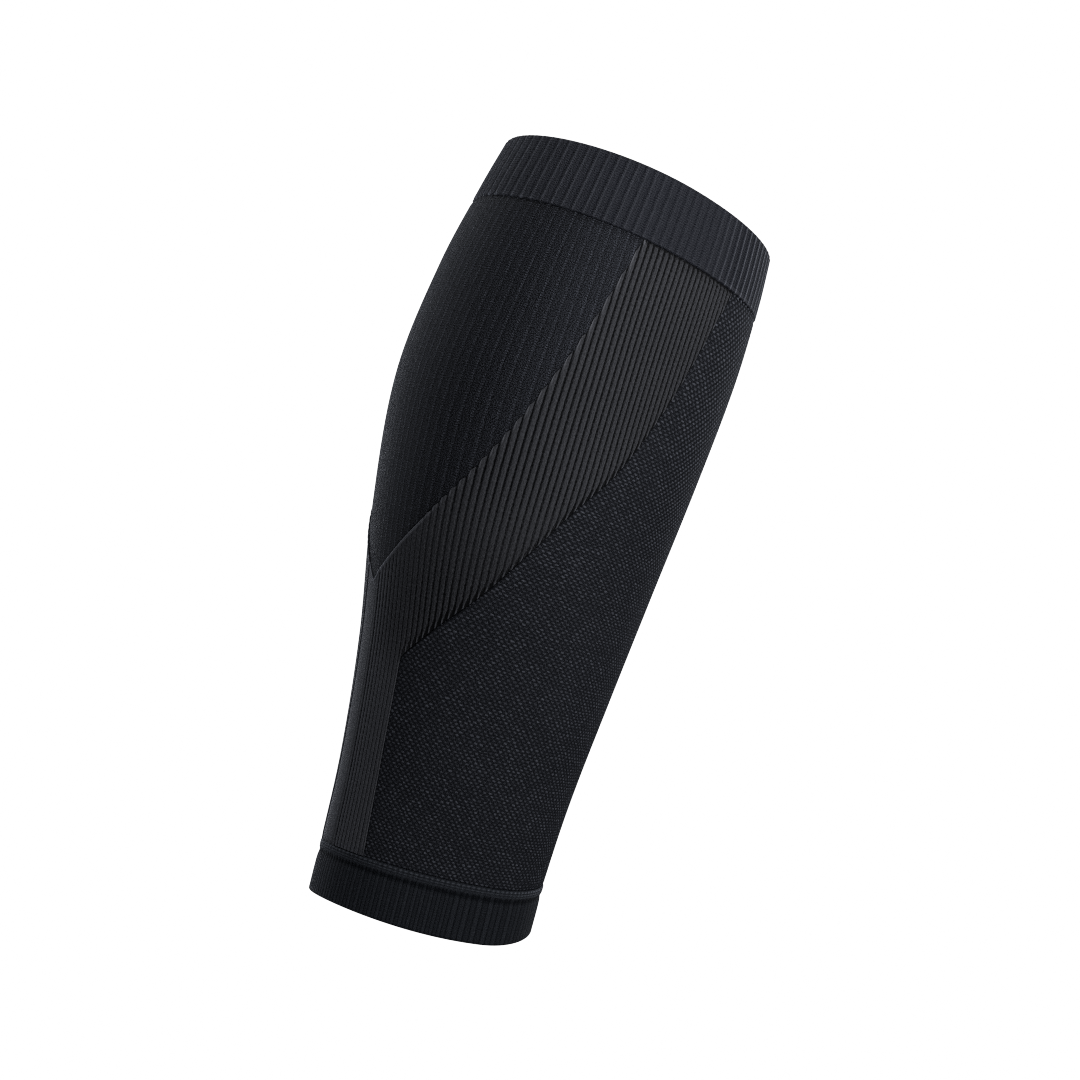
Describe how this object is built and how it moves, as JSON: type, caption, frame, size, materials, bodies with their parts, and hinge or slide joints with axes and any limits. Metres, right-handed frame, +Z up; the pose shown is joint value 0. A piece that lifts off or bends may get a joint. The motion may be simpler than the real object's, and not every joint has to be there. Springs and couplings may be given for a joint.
{
  "type": "calf compression sleeve",
  "caption": "Footless knitted tube worn from ankle to below the knee: ribbed cuffs, a plain calf panel, a Y of raised ribs up the back and a dotted mesh shin panel.",
  "frame": {"origin": "on the leg's axis, half way up the sleeve", "axes": "+Z up the leg towards the knee, -Y towards the shin, +Y towards the calf, X across the leg"},
  "size_m": [0.1228, 0.1342, 0.3112],
  "materials": {
    "top_cuff": "fine ribbed knit, charcoal black",
    "calf_panel": "plain fine jersey, black with a faint sheen",
    "rib_band": "raised flat ribs with narrow dark grooves, charcoal",
    "mesh_panel": "dotted airy knit, black with grey stitch heads",
    "bottom_cuff": "fine ribbed knit, black"
  },
  "bodies": {
    "root": {"top_cuff": "top_cuff", "calf_panel": "calf_panel", "rib_band": "rib_band", "mesh_panel": "mesh_panel", "bottom_cuff": "bottom_cuff"}
  },
  "joints": []
}
